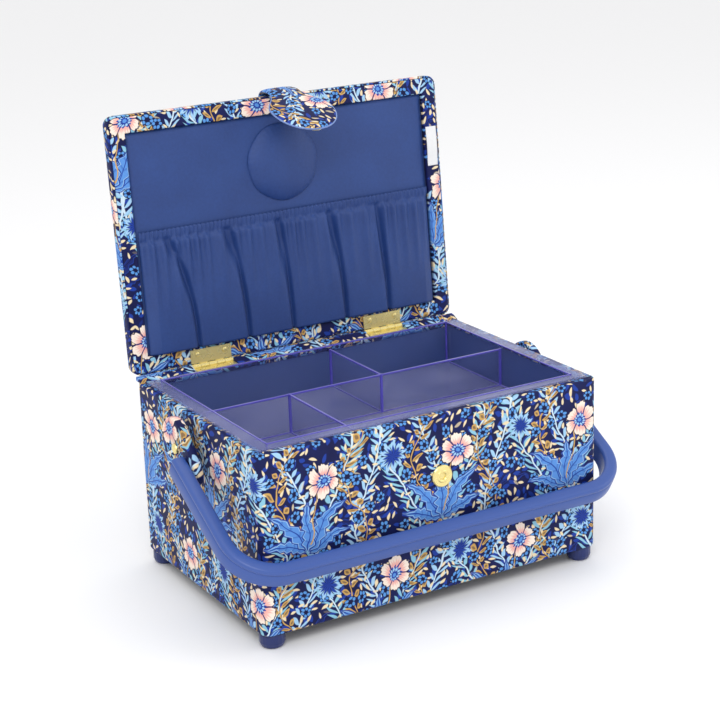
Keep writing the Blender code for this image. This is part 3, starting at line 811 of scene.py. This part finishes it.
def buildLidLining():
    spec = liningSpec
    length = spec["far"] - spec["near"]
    rng = random.Random(4)
    creases = [(rng.uniform(0, math.tau), rng.uniform(18, 50), rng.uniform(-0.6, 0.6)) for _ in range(6)]

    def front(u, v):
        x = (2 * u - 1) * spec["halfWidth"]
        s = spec["near"] + length * v
        edge = min(1.0, min(u, 1 - u) * 22, min(v, 1 - v) * 15)
        rise = spec["pillow"] * (1 - (1 - edge) ** 2)
        ripple = sum(math.sin(x * k + s * k * lean + p) for p, k, lean in creases) * spec["crease"] * edge
        return lidPoint(x, s, spec["face"] + spec["pillow"] - rise + ripple)

    def back(u, v):
        x = (2 * u - 1) * spec["halfWidth"]
        return lidPoint(x, spec["near"] + length * v, spec["face"] + spec["thick"])

    piece = gridPad("lid_lining_cloth", 70, 46, front, back,
                    lambda u, v: ((2 * u - 1) * spec["halfWidth"], v * length), "lining", "lid")
    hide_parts("lid_lining")


cushionSpec = {
    "radius": 32.6 * mm,
    "s": 157.5 * mm,
    "height": 8.4 * mm,
    "seam": 4.6 * mm,
    "base": 4.95 * mm,
    "gathers": 44,
}


def buildPinCushion():
    spec = cushionSpec
    radius = spec["radius"]
    rings, uvRings = [], []
    around, rows = 132, 18
    for k in range(rows + 1):
        r = radius * math.sin(k / rows * math.pi / 2)
        lift = spec["height"] * (1 - (r / radius) ** 2.6) ** 0.75
        near = max(0.0, r / radius - 0.55) / 0.45
        ring, flat = [], []
        for i in range(around):
            turn = math.tau * i / around
            gather = math.cos(turn * spec["gathers"] + 0.7 * math.sin(turn * 5)) * 0.32 * mm * near ** 2
            gather += math.cos(turn * 9 + 1.0) * 0.18 * mm * near
            rr = r * (1 + 0.008 * math.sin(turn * 7) * near)
            x, s = rr * math.cos(turn), spec["s"] + rr * math.sin(turn)
            ring.append(lidPoint(x, s, spec["seam"] - lift + gather))
            flat.append((r * math.cos(turn), r * math.sin(turn)))
        rings.append(ring)
        uvRings.append(flat + [flat[0]])
    base = []
    for i in range(around):
        turn = math.tau * i / around
        x, s = radius * 0.97 * math.cos(turn), spec["s"] + radius * 0.97 * math.sin(turn)
        base.append(lidPoint(x, s, spec["base"]))
    rings.append(base)
    uvRings.append(uvRings[-1])
    tip = rings.pop(0)
    tipUv = uvRings.pop(0)
    verts = [tip[0]] + [p for ring in rings for p in ring]
    faces, uvs = [], []
    for i in range(around):
        j = (i + 1) % around
        faces.append((0, 1 + j, 1 + i))
        uvs.append((tipUv[0], uvRings[0][i + 1], uvRings[0][i]))
    for r in range(len(rings) - 1):
        for i in range(around):
            j = (i + 1) % around
            a, b = 1 + r * around, 1 + (r + 1) * around
            faces.append((a + i, a + j, b + j, b + i))
            uvs.append((uvRings[r][i], uvRings[r][i + 1], uvRings[r + 1][i + 1], uvRings[r + 1][i]))
    top = 1 + (len(rings) - 1) * around
    faces.append(tuple(top + i for i in range(around)))
    uvs.append(tuple(uvRings[-1][i] for i in range(around)))
    piece = makeMesh("pin_cushion_cloth", verts, faces, uvs, "lining", "lid")
    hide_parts("pin_cushion")


pocketSpec = {
    "halfWidth": 137.2 * mm,
    "low": 15.6 * mm,
    "top": 117.0 * mm,
    "bulge": 9.0 * mm,
    "limit": 5.9 * mm,     # keeps the cloth clear of the tray when the lid is shut
    "header": 8.0 * mm,
    "ruffle": 3.8 * mm,
    "fold": 11.0 * mm,
    "pleats": ((-116, -93), (-59, -46), (-10, -4), (37, 48), (84, 91)),   # x at the top and the bottom, in mm
    "flat": (370 * mm, 112 * mm),
}


def buildPocket():
    spec = pocketSpec
    columns, rows = 420, 60

    def body(x, v):  # how far the cloth stands off the lining; v is 0 at the bottom and 1 at the top
        full = spec["bulge"] * (0.3 + 0.7 * math.sin(math.pi * min(1, 0.12 + v * 0.8)) ** 0.7)
        valley = 1.0
        for topX, lowX in spec["pleats"]:
            d = x / mm - (lowX + (topX - lowX) * v ** 2.4)
            width = (2.5 + 6.5 * v) if d < 0 else 1.6 + 1.2 * v
            valley *= 1 - math.exp(-(abs(d) / width) ** 1.5)
        side = min(1.0, (spec["halfWidth"] - abs(x)) / (9 * mm))
        gathers = math.sin(math.tau * x / spec["fold"] + 1.7 * math.sin(x * 61) + 0.8 * math.sin(x * 143))
        gathers = (0.5 + 0.5 * gathers) ** 1.4 - 0.6
        full *= valley / (1 + (full * valley / spec["limit"]) ** 6) ** (1 / 6)
        return 0.7 * mm + (full + 3.4 * mm * gathers * min(1, max(0, v - 0.25) / 0.6) ** 1.3) * side ** 0.6

    def front(u, v):
        x = (2 * u - 1) * spec["halfWidth"]
        s = spec["low"] + (spec["top"] - spec["low"]) * v
        fromTop = spec["top"] - s
        head = 1 / (1 + math.exp((fromTop - spec["header"]) / (0.7 * mm)))
        ruffle = math.sin(math.tau * x / spec["ruffle"] + 1.1 * math.sin(x * 90)) * 0.62 * mm
        off = body(x, v) * (1 - head) + head * (3.0 * mm + ruffle)
        off -= math.exp(-((fromTop - spec["header"]) / (1.5 * mm)) ** 2) * min(1.6 * mm, off * 0.5)
        off = max(off, 0.5 * mm)
        s += 0.45 * mm * math.sin(math.tau * x / spec["ruffle"] + 1.0) * head
        return lidPoint(x, s, liningSpec["face"] - off)

    def back(u, v):
        return front(u, v) + lidOut * 0.55 * mm

    piece = gridPad("pocket_cloth", columns, rows, front, back,
                    lambda u, v: (u * spec["flat"][0], v * spec["flat"][1]), "lining", "lid")
    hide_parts("pocket", "pocket_elastic")


labelSpec = {"near": 135.0 * mm, "far": 169.0 * mm, "face": 2.2 * mm, "thick": 0.35 * mm, "curl": 0.7 * mm}


def buildLabel():
    low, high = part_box("label")
    width = high.x - low.x
    near, far = labelSpec["near"], labelSpec["far"]

    def place(lift):
        def at(u, v):
            curl = labelSpec["curl"] * math.sin(math.pi * v) ** 2 + 0.5 * mm * v * u
            return lidPoint(low.x + width * u, near + (far - near) * v, labelSpec["face"] - curl - lift)
        return at

    piece = gridPad("label_tape", 12, 34, place(labelSpec["thick"]), place(0.0),
                    lambda u, v: (u * width, v * (far - near)), "label", "lid")
    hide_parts("label")


buildLidCover()
buildLidFrame()
buildLidLining()
buildPinCushion()
buildPocket()
buildLabel()
print("lid ready")

# closure tab: a strap from the lid, then a rounded tongue with piping
strapAxis = Vector(joints["strap_bend"]["pos_m"])
strapTurn = Matrix.Rotation(math.radians(joints["strap_bend"]["range_deg"][1]), 3, "X")
tabSpec = {
    "x": 4.0 * mm,
    "onLid": ((188, 19.6), (198, 20.0), (206, 19.6), (211, 18.6), (214.2, 16.6)),  # the strap's line, in mm
    "offLid": ((216.2, 13.4), (218.2, 9.2), (219.8, 5.0), (220.7, 1.0), (221.0, -2.6)),
    "strapWidth": 29.0 * mm,
    "tongueWidth": 58.0 * mm,
    "length": 59.0 * mm,
    "widest": 0.46,        # share of the tongue's length
    "thick": 3.4 * mm,
    "s": 221.0 * mm,
    "fold": -3.0 * mm,
    "piping": 0.7 * mm,
}


def tabPoint(x, s, n):
    return strapAxis + strapTurn @ (lidPoint(x, s, n) - strapAxis)


def padSection(path, widths, thicks, name, columns=18, puff=0.35, begin=0.42):
    # flat padded strip along a list of centre points, with soft edges
    rings, uvRings = [], []
    travelled = 0.0
    for k, centre in enumerate(path):
        ahead = path[min(k + 1, len(path) - 1)]
        behind = path[max(k - 1, 0)]
        along = (ahead - behind).normalized()
        normal = along.cross(Vector((1, 0, 0))).normalized()
        if k:
            travelled += (centre - path[k - 1]).length
        ring, flat = [], []
        half, thick = widths[k] / 2, thicks[k] / 2
        for i in range(2 * columns):
            turn = math.tau * i / (2 * columns)
            c, s = math.cos(turn), math.sin(turn)
            x = half * (abs(c) ** 0.55) * (1 if c > 0 else -1)
            h = thick * (abs(s) ** 0.75) * (1 if s > 0 else -1) * (1 + puff * 0.3 * (1 - c * c))
            ring.append(centre + Vector((x, 0, 0)) + normal * h)
            flat.append((x + (0 if s > 0 else 0.06), begin + travelled))
        rings.append(ring)
        uvRings.append(flat + [flat[0]])
    ends = [(0, True), (len(rings) - 1, False)]
    return loftRings(name, rings, uvRings, "print", None, closed=False, caps=ends)


def smoothPath(points, steps):  # curve that passes through every point
    out = []
    for k in range(len(points) - 1):
        p0 = points[max(k - 1, 0)]
        p1, p2 = points[k], points[k + 1]
        p3 = points[min(k + 2, len(points) - 1)]
        for j in range(steps):
            t = j / steps
            out.append(0.5 * ((2 * p1) + (p2 - p0) * t + (2 * p0 - 5 * p1 + 4 * p2 - p3) * t * t
                              + (3 * p1 - p0 - 3 * p2 + p3) * t ** 3))
    out.append(points[-1])
    return out


def buildTab():
    spec = tabSpec
    x = spec["x"]
    onLid = [lidPoint(x, s * mm, n * mm) for s, n in spec["onLid"]]
    offLid = [tabPoint(x, s * mm, n * mm) for s, n in spec["offLid"]]
    path = smoothPath(onLid + offLid, 5)
    widths = [spec["strapWidth"] * (0.86 + 0.14 * min(1, k / 4)) for k in range(len(path))]
    thicks = [1.6 * mm + (spec["thick"] - 1.6 * mm) * min(1, k / 20) for k in range(len(path))]
    strap = padSection(path, widths, thicks, "tab_strap_cloth")
    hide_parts("tab_strap", "tab_anchor")
    tuple(lidPoint(0, 211 * mm, 18.6 * mm))
    tuple(tabPoint(0, 219.4 * mm, 6.4 * mm))
    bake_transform(strap)

    centres, widths, thicks = [], [], []
    stations = 30
    neck, broad, widest = spec["strapWidth"] + 0.6 * mm, spec["tongueWidth"] - 2.4 * mm, spec["widest"]
    for k in range(stations + 1):
        share = 1 - (1 - k / stations) ** 1.6
        if share < widest:
            width = neck + (broad - neck) * ((1 - math.cos(math.pi * share / widest)) / 2) ** 0.85
        else:
            width = broad * math.sqrt(max(1 - ((share - widest) / 0.545) ** 2.2, 0.0))
        droop = 0.8 * mm * math.sin(math.pi * share)
        down = spec["fold"] + 0.2 * mm - (spec["length"] - 1.2 * mm) * share
        centres.append(tabPoint(x, spec["s"] + droop, down))
        widths.append(max(width, 3 * mm))
        thicks.append(spec["thick"] * (1 - 0.55 * max(0, share - 0.9) / 0.1))
    tongue = padSection(centres, widths, thicks, "tab_tongue_cloth", 22, begin=0.105)
    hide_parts("tab_tongue")
    bend = (tuple(tabPoint(0, spec["s"], spec["fold"] + 0.6 * mm)),
            tuple(tabPoint(0, spec["s"], spec["fold"] - 6 * mm)))
    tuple(bend[0])
    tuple(bend[1])
    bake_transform(tongue)

    edge = [c + Vector((w / 2 - 0.2 * mm, 0, 0)) for c, w in zip(centres, widths)]
    edge += [c - Vector((w / 2 - 0.2 * mm, 0, 0)) for c, w in reversed(list(zip(centres, widths)))]
    rings, uvRings = [], []
    around = 10
    travelled = 0.0
    up = (strapTurn @ lidAlong).normalized()
    for k, centre in enumerate(edge):
        along = (edge[min(k + 1, len(edge) - 1)] - edge[max(k - 1, 0)]).normalized()
        side = along.cross(up).normalized()
        if k:
            travelled += (centre - edge[k - 1]).length
        ring = []
        for i in range(around):
            turn = math.tau * i / around
            ring.append(centre + (side * math.cos(turn) + up * math.sin(turn)) * spec["piping"])
        rings.append(ring)
        uvRings.append([(travelled, spec["piping"] * math.tau * i / around) for i in range(around + 1)])
    ends = [(0, True), (len(rings) - 1, False)]
    cord = loftRings("tab_piping", rings, uvRings, "piping", None, closed=False, caps=ends)
    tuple(bend[0])
    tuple(bend[1])
    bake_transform(cord)


buildTab()
print("tab ready")

# handle: printed ears on the pivots and a moulded bail
pivot = Vector(joints["handle_swing"]["pos_m"])
earSpec = {
    "drop": 29.3,
    "big": 22.0 * mm,
    "small": 12.0 * mm,
    "back": -4.0 * mm,
    "reach": 26.0 * mm,
    "puff": 0.9 * mm,
}
drop = math.radians(earSpec["drop"])
armAlong = Vector((0, -math.cos(drop), -math.sin(drop)))
armUp = Vector((0, -math.sin(drop), math.cos(drop)))


def buildEar(side, sign):
    spec = earSpec
    low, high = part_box("ear_" + side)
    inner, outer = (high.x, low.x) if sign < 0 else (low.x, high.x)
    steps = 64
    outline = []
    for k in range(steps):
        turn = math.tau * k / steps
        far = 0.0
        for share in range(41):
            along = spec["back"] + (spec["reach"] - spec["back"]) * share / 40
            radius = spec["big"] + (spec["small"] - spec["big"]) * share / 40
            b = along * math.cos(turn)
            inside = b * b - along * along + radius * radius
            if inside >= 0:
                far = max(far, b + math.sqrt(inside))
        outline.append((far * math.cos(turn), far * math.sin(turn)))
    rings, uvRings = [], []
    levels = [(0.16, inner), (0.6, inner), (0.93, inner), (0.99, inner + sign * 1.0 * mm)]
    levels += [(1.0, (inner + outer) / 2), (0.99, outer - sign * 1.1 * mm), (0.955, outer - sign * 0.2 * mm)]
    levels += [(0.88, outer), (0.6, outer + sign * spec["puff"] * 0.2), (0.16, outer)]
    for scale, x in levels:
        ring = [pivot + Vector((x, 0, 0)) + armAlong * s * scale + armUp * w * scale for s, w in outline]
        flat = [(0.31 + s * scale + sign * 0.1, 0.02 + w * scale + abs(x) - 0.161) for s, w in outline]
        rings.append(ring)
        uvRings.append(flat + [flat[0]])
    uvRings.append(uvRings[0])
    piece = loftRings("ear_cloth_" + side, rings, uvRings, "print", "handle")
    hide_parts("ear_" + side)


for side, sign in (("left", -1), ("right", 1)):
    buildEar(side, sign)

bailSpec = {
    "reach": 137.7 * mm,
    "half": 174.0 * mm,
    "bend": 36.0 * mm,
    "start": 16.0 * mm,
    "thick": 11.0 * mm,
    "deep": 17.0 * mm,
    "bead": 2.9 * mm,
    "round": 1.8 * mm,
    "groove": 0.9 * mm,
}


def bailSection():
    # outwards, and up: a flat outer band with a round bead along its upper edge
    spec = bailSpec
    half, deep, bead, groove = spec["thick"] / 2, spec["deep"] / 2, spec["bead"], spec["groove"]
    low = spec["round"]
    outline = [(half - low + low * math.sin(t), -deep + low - low * math.cos(t))
               for t in (0, 0.4, 0.8, 1.2, 1.57)]
    outline += [(half, deep - 2.2 * bead), (half - groove, deep - 1.75 * bead)]
    outline += [(half - bead + bead * math.cos(t), deep - bead + bead * math.sin(t))
                for t in (-0.6, -0.2, 0.3, 0.8, 1.2, 1.57)]
    outline += [(-half + bead - bead * math.sin(t), deep - bead + bead * math.cos(t))
                for t in (0, 0.4, 0.8, 1.2, 1.6)]
    outline += [(-half + groove * 0.6, deep - 2.0 * bead), (-half + groove * 0.6, -deep + low * 1.4)]
    outline += [(-half + low - low * math.cos(t), -deep + low - low * math.sin(t)) for t in (0.4, 0.8, 1.2)]
    return outline


def buildBail():
    spec = bailSpec
    across, far, bend = spec["half"], spec["reach"], spec["bend"]
    centres = [(-across, spec["start"] + (far - bend - spec["start"]) * k / 8, 1.0, 0.0) for k in range(9)]
    for k in range(1, 16):
        turn = math.pi / 2 * k / 16
        c, s = math.cos(turn), math.sin(turn)
        centres.append((-across + bend - bend * c, far - bend + bend * s, c, s))
    centres += [(-across + bend + (across - bend) * k / 10, far, 0.0, 1.0) for k in range(11)]
    centres += [(-x, s, outX, outS) for x, s, outX, outS in reversed(centres[:-1])]
    rings, uvRings = [], []
    section = bailSection()
    for k, (x, s, outX, outS) in enumerate(centres):
        sign = -1 if x < 0 else 1
        ring = []
        for out, up in section:
            sideways = Vector((x + sign * outX * out, 0, 0))
            ring.append(pivot + sideways + armAlong * (s + outS * out) + armUp * up)
        rings.append(ring)
        uvRings.append([(k * mm, i * mm) for i in range(len(section) + 1)])
    piece = loftRings("handle_bail_body", rings, uvRings, "plastic", "handle", closed=False,
                      caps=[(0, True), (len(rings) - 1, False)])
    piece.data.set_sharp_from_angle(angle=math.radians(50))
    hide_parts("handle_bail")


buildBail()
print("handle ready")

# hardware and moulded parts that keep their own shape
for name, node in frame["nodes"].items():
    if node.hide_render:
        continue
    if any(word in name for word in ("rivet", "leaf", "pin_left", "pin_right", "snap", "spacer")):
        choice, width = "brass", 0.25 * mm
    elif name.startswith("foot"):
        choice, width = "feet", 0.8 * mm
    elif name == "tray":
        choice, width = "tray", 0.3 * mm
    elif name.endswith("board"):
        choice, width = "board", 0.0
    elif name == "base_cover":
        choice, width = "felt", 0.6 * mm
    elif name == "lid_padding":
        choice, width = "wadding", 0.0
    else:
        choice, width = "lining", 0.0
        print("left over", name)
    node.data.materials.clear()
    node.data.materials.append(looks[choice])
    if width:
        addBevel(node, width)
print("hardware ready")

# tray: the moulding's thick edges, where the tint gathers
traySpec = {  # in mm
    "halfWide": 137.5,
    "front": -101.2,
    "back": 81.3,
    "split": -2.2,
    "backSplit": 20.0,
    "frontSplit": -65.0,
    "floor": 123.3,
    "dividerTop": 155.0,
    "rim": 158.9,
    "edge": 1.3,
}


def buildTrayEdges():
    spec = traySpec
    wide, front, back, split = spec["halfWide"], spec["front"], spec["back"], spec["split"]
    low, top, rim, edge = spec["floor"], spec["dividerTop"], spec["rim"], spec["edge"]
    frontX, backX = spec["frontSplit"], spec["backSplit"]
    walls = [((-wide, front), (wide, front)), ((wide, front), (wide, back)), ((wide, back), (-wide, back)),
             ((-wide, back), (-wide, front))]
    dividers = [((-wide, split), (wide, split)), ((frontX, front), (frontX, split)),
                ((backX, split), (backX, back))]
    bars = []
    for (x0, y0), (x1, y1) in walls + dividers:
        bars.append(((x0, y0, low), (x1, y1, low), edge * 0.8))
    for (x0, y0), (x1, y1) in walls:
        bars.append(((x0, y0, rim), (x1, y1, rim), edge * 0.7))
    for (x0, y0), (x1, y1) in dividers:
        bars.append(((x0, y0, top), (x1, y1, top), edge))
    for x, y in [end for divider in dividers for end in divider]:
        bars.append(((x, y, low), (x, y, top), edge * 1.35))
    for x, y in ((-wide, front), (wide, front), (wide, back), (-wide, back)):
        bars.append(((x, y, low), (x, y, rim), edge))
    verts, faces = [], []
    sides = ((0, 2, 3, 1), (4, 5, 7, 6), (0, 1, 5, 4), (2, 6, 7, 3), (0, 4, 6, 2), (1, 3, 7, 5))
    for start, end, size in bars:
        first = len(verts)
        near = [min(a, b) - size / 2 for a, b in zip(start, end)]
        far = [max(a, b) + size / 2 for a, b in zip(start, end)]
        for k in range(8):
            verts.append([(far if k >> axis & 1 else near)[axis] * mm for axis in range(3)])
        faces += [tuple(first + v for v in side) for side in sides]
    uvs = [((0, 0), (1, 0), (1, 1), (0, 1))] * len(faces)
    piece = makeMesh("tray_edges", verts, faces, uvs, "trayEdge", "tray", smooth=False)


buildTrayEdges()
print("tray ready")

# floor, light and camera
stageSpec = {
    "floor": "#fbfbfc",
    "reach": 6,
    "world": 0.9,
    "aim": (0, 0, 0.15),
    "lights": (("key", (-0.9, -1.3, 1.6), 0.9, 13.0),   # name, place, size and power
               ("fill", (1.5, -0.7, 0.9), 1.1, 4.0),
               ("top", (0.1, 0.3, 1.9), 1.2, 4.0)),
}


def buildStage():
    mesh = bpy.data.meshes.new("studio_floor")
    reach = stageSpec["reach"]
    corners = [(-reach, -reach, 0), (reach, -reach, 0), (reach, reach, 0), (-reach, reach, 0)]
    mesh.from_pydata(corners, [], [(0, 1, 2, 3)])
    floor = bpy.data.objects.new("studio_floor", mesh)
    scene.collection.objects.link(floor)
    material, _, shader = newLook("pale_floor", 0.9)
    shader.inputs["Base Color"].default_value = fromHex(stageSpec["floor"])
    shader.inputs["Specular IOR Level"].default_value = 0.1
    mesh.materials.append(material)
    world = bpy.data.worlds.new("studio")
    scene.world = world
    world.use_nodes = True
    sky = world.node_tree.nodes["Background"]
    sky.inputs[0].default_value = (1, 1, 1, 1)
    sky.inputs[1].default_value = stageSpec["world"]
    for name, place, size, power in stageSpec["lights"]:
        light = bpy.data.lights.new(name, "AREA")
        light.size = size
        light.energy = power
        lamp = bpy.data.objects.new(name, light)
        scene.collection.objects.link(lamp)
        lamp.location = place
        lamp.rotation_euler = (Vector(stageSpec["aim"]) - Vector(place)).to_track_quat("-Z", "Y").to_euler()


cameraSpec = {
    "aim": (0.0035, 0.0026, 0.1697),
    "azimuth": -29.96,
    "elevation": 17.73,
    "roll": -1.93,
    "distance": 1.531,
    "lens": 94.4,
    "sensor": 36,
}


def buildCamera():
    spec = cameraSpec
    a, e, roll = (math.radians(spec[key]) for key in ("azimuth", "elevation", "roll"))
    forward = Vector((-math.sin(a) * math.cos(e), math.cos(a) * math.cos(e), -math.sin(e)))
    right = forward.cross(Vector((0, 0, 1))).normalized()
    up = right.cross(forward)
    right, up = right * math.cos(roll) + up * math.sin(roll), up * math.cos(roll) - right * math.sin(roll)
    data = bpy.data.cameras.new("studio_camera")
    data.lens = spec["lens"]
    data.sensor_width = spec["sensor"]
    camera = bpy.data.objects.new("studio_camera", data)
    scene.collection.objects.link(camera)
    turn = Matrix((right, up, -forward)).transposed().to_4x4()
    camera.matrix_world = Matrix.Translation(Vector(spec["aim"]) - forward * spec["distance"]) @ turn
    scene.camera = camera


buildStage()
buildCamera()
print("studio ready")
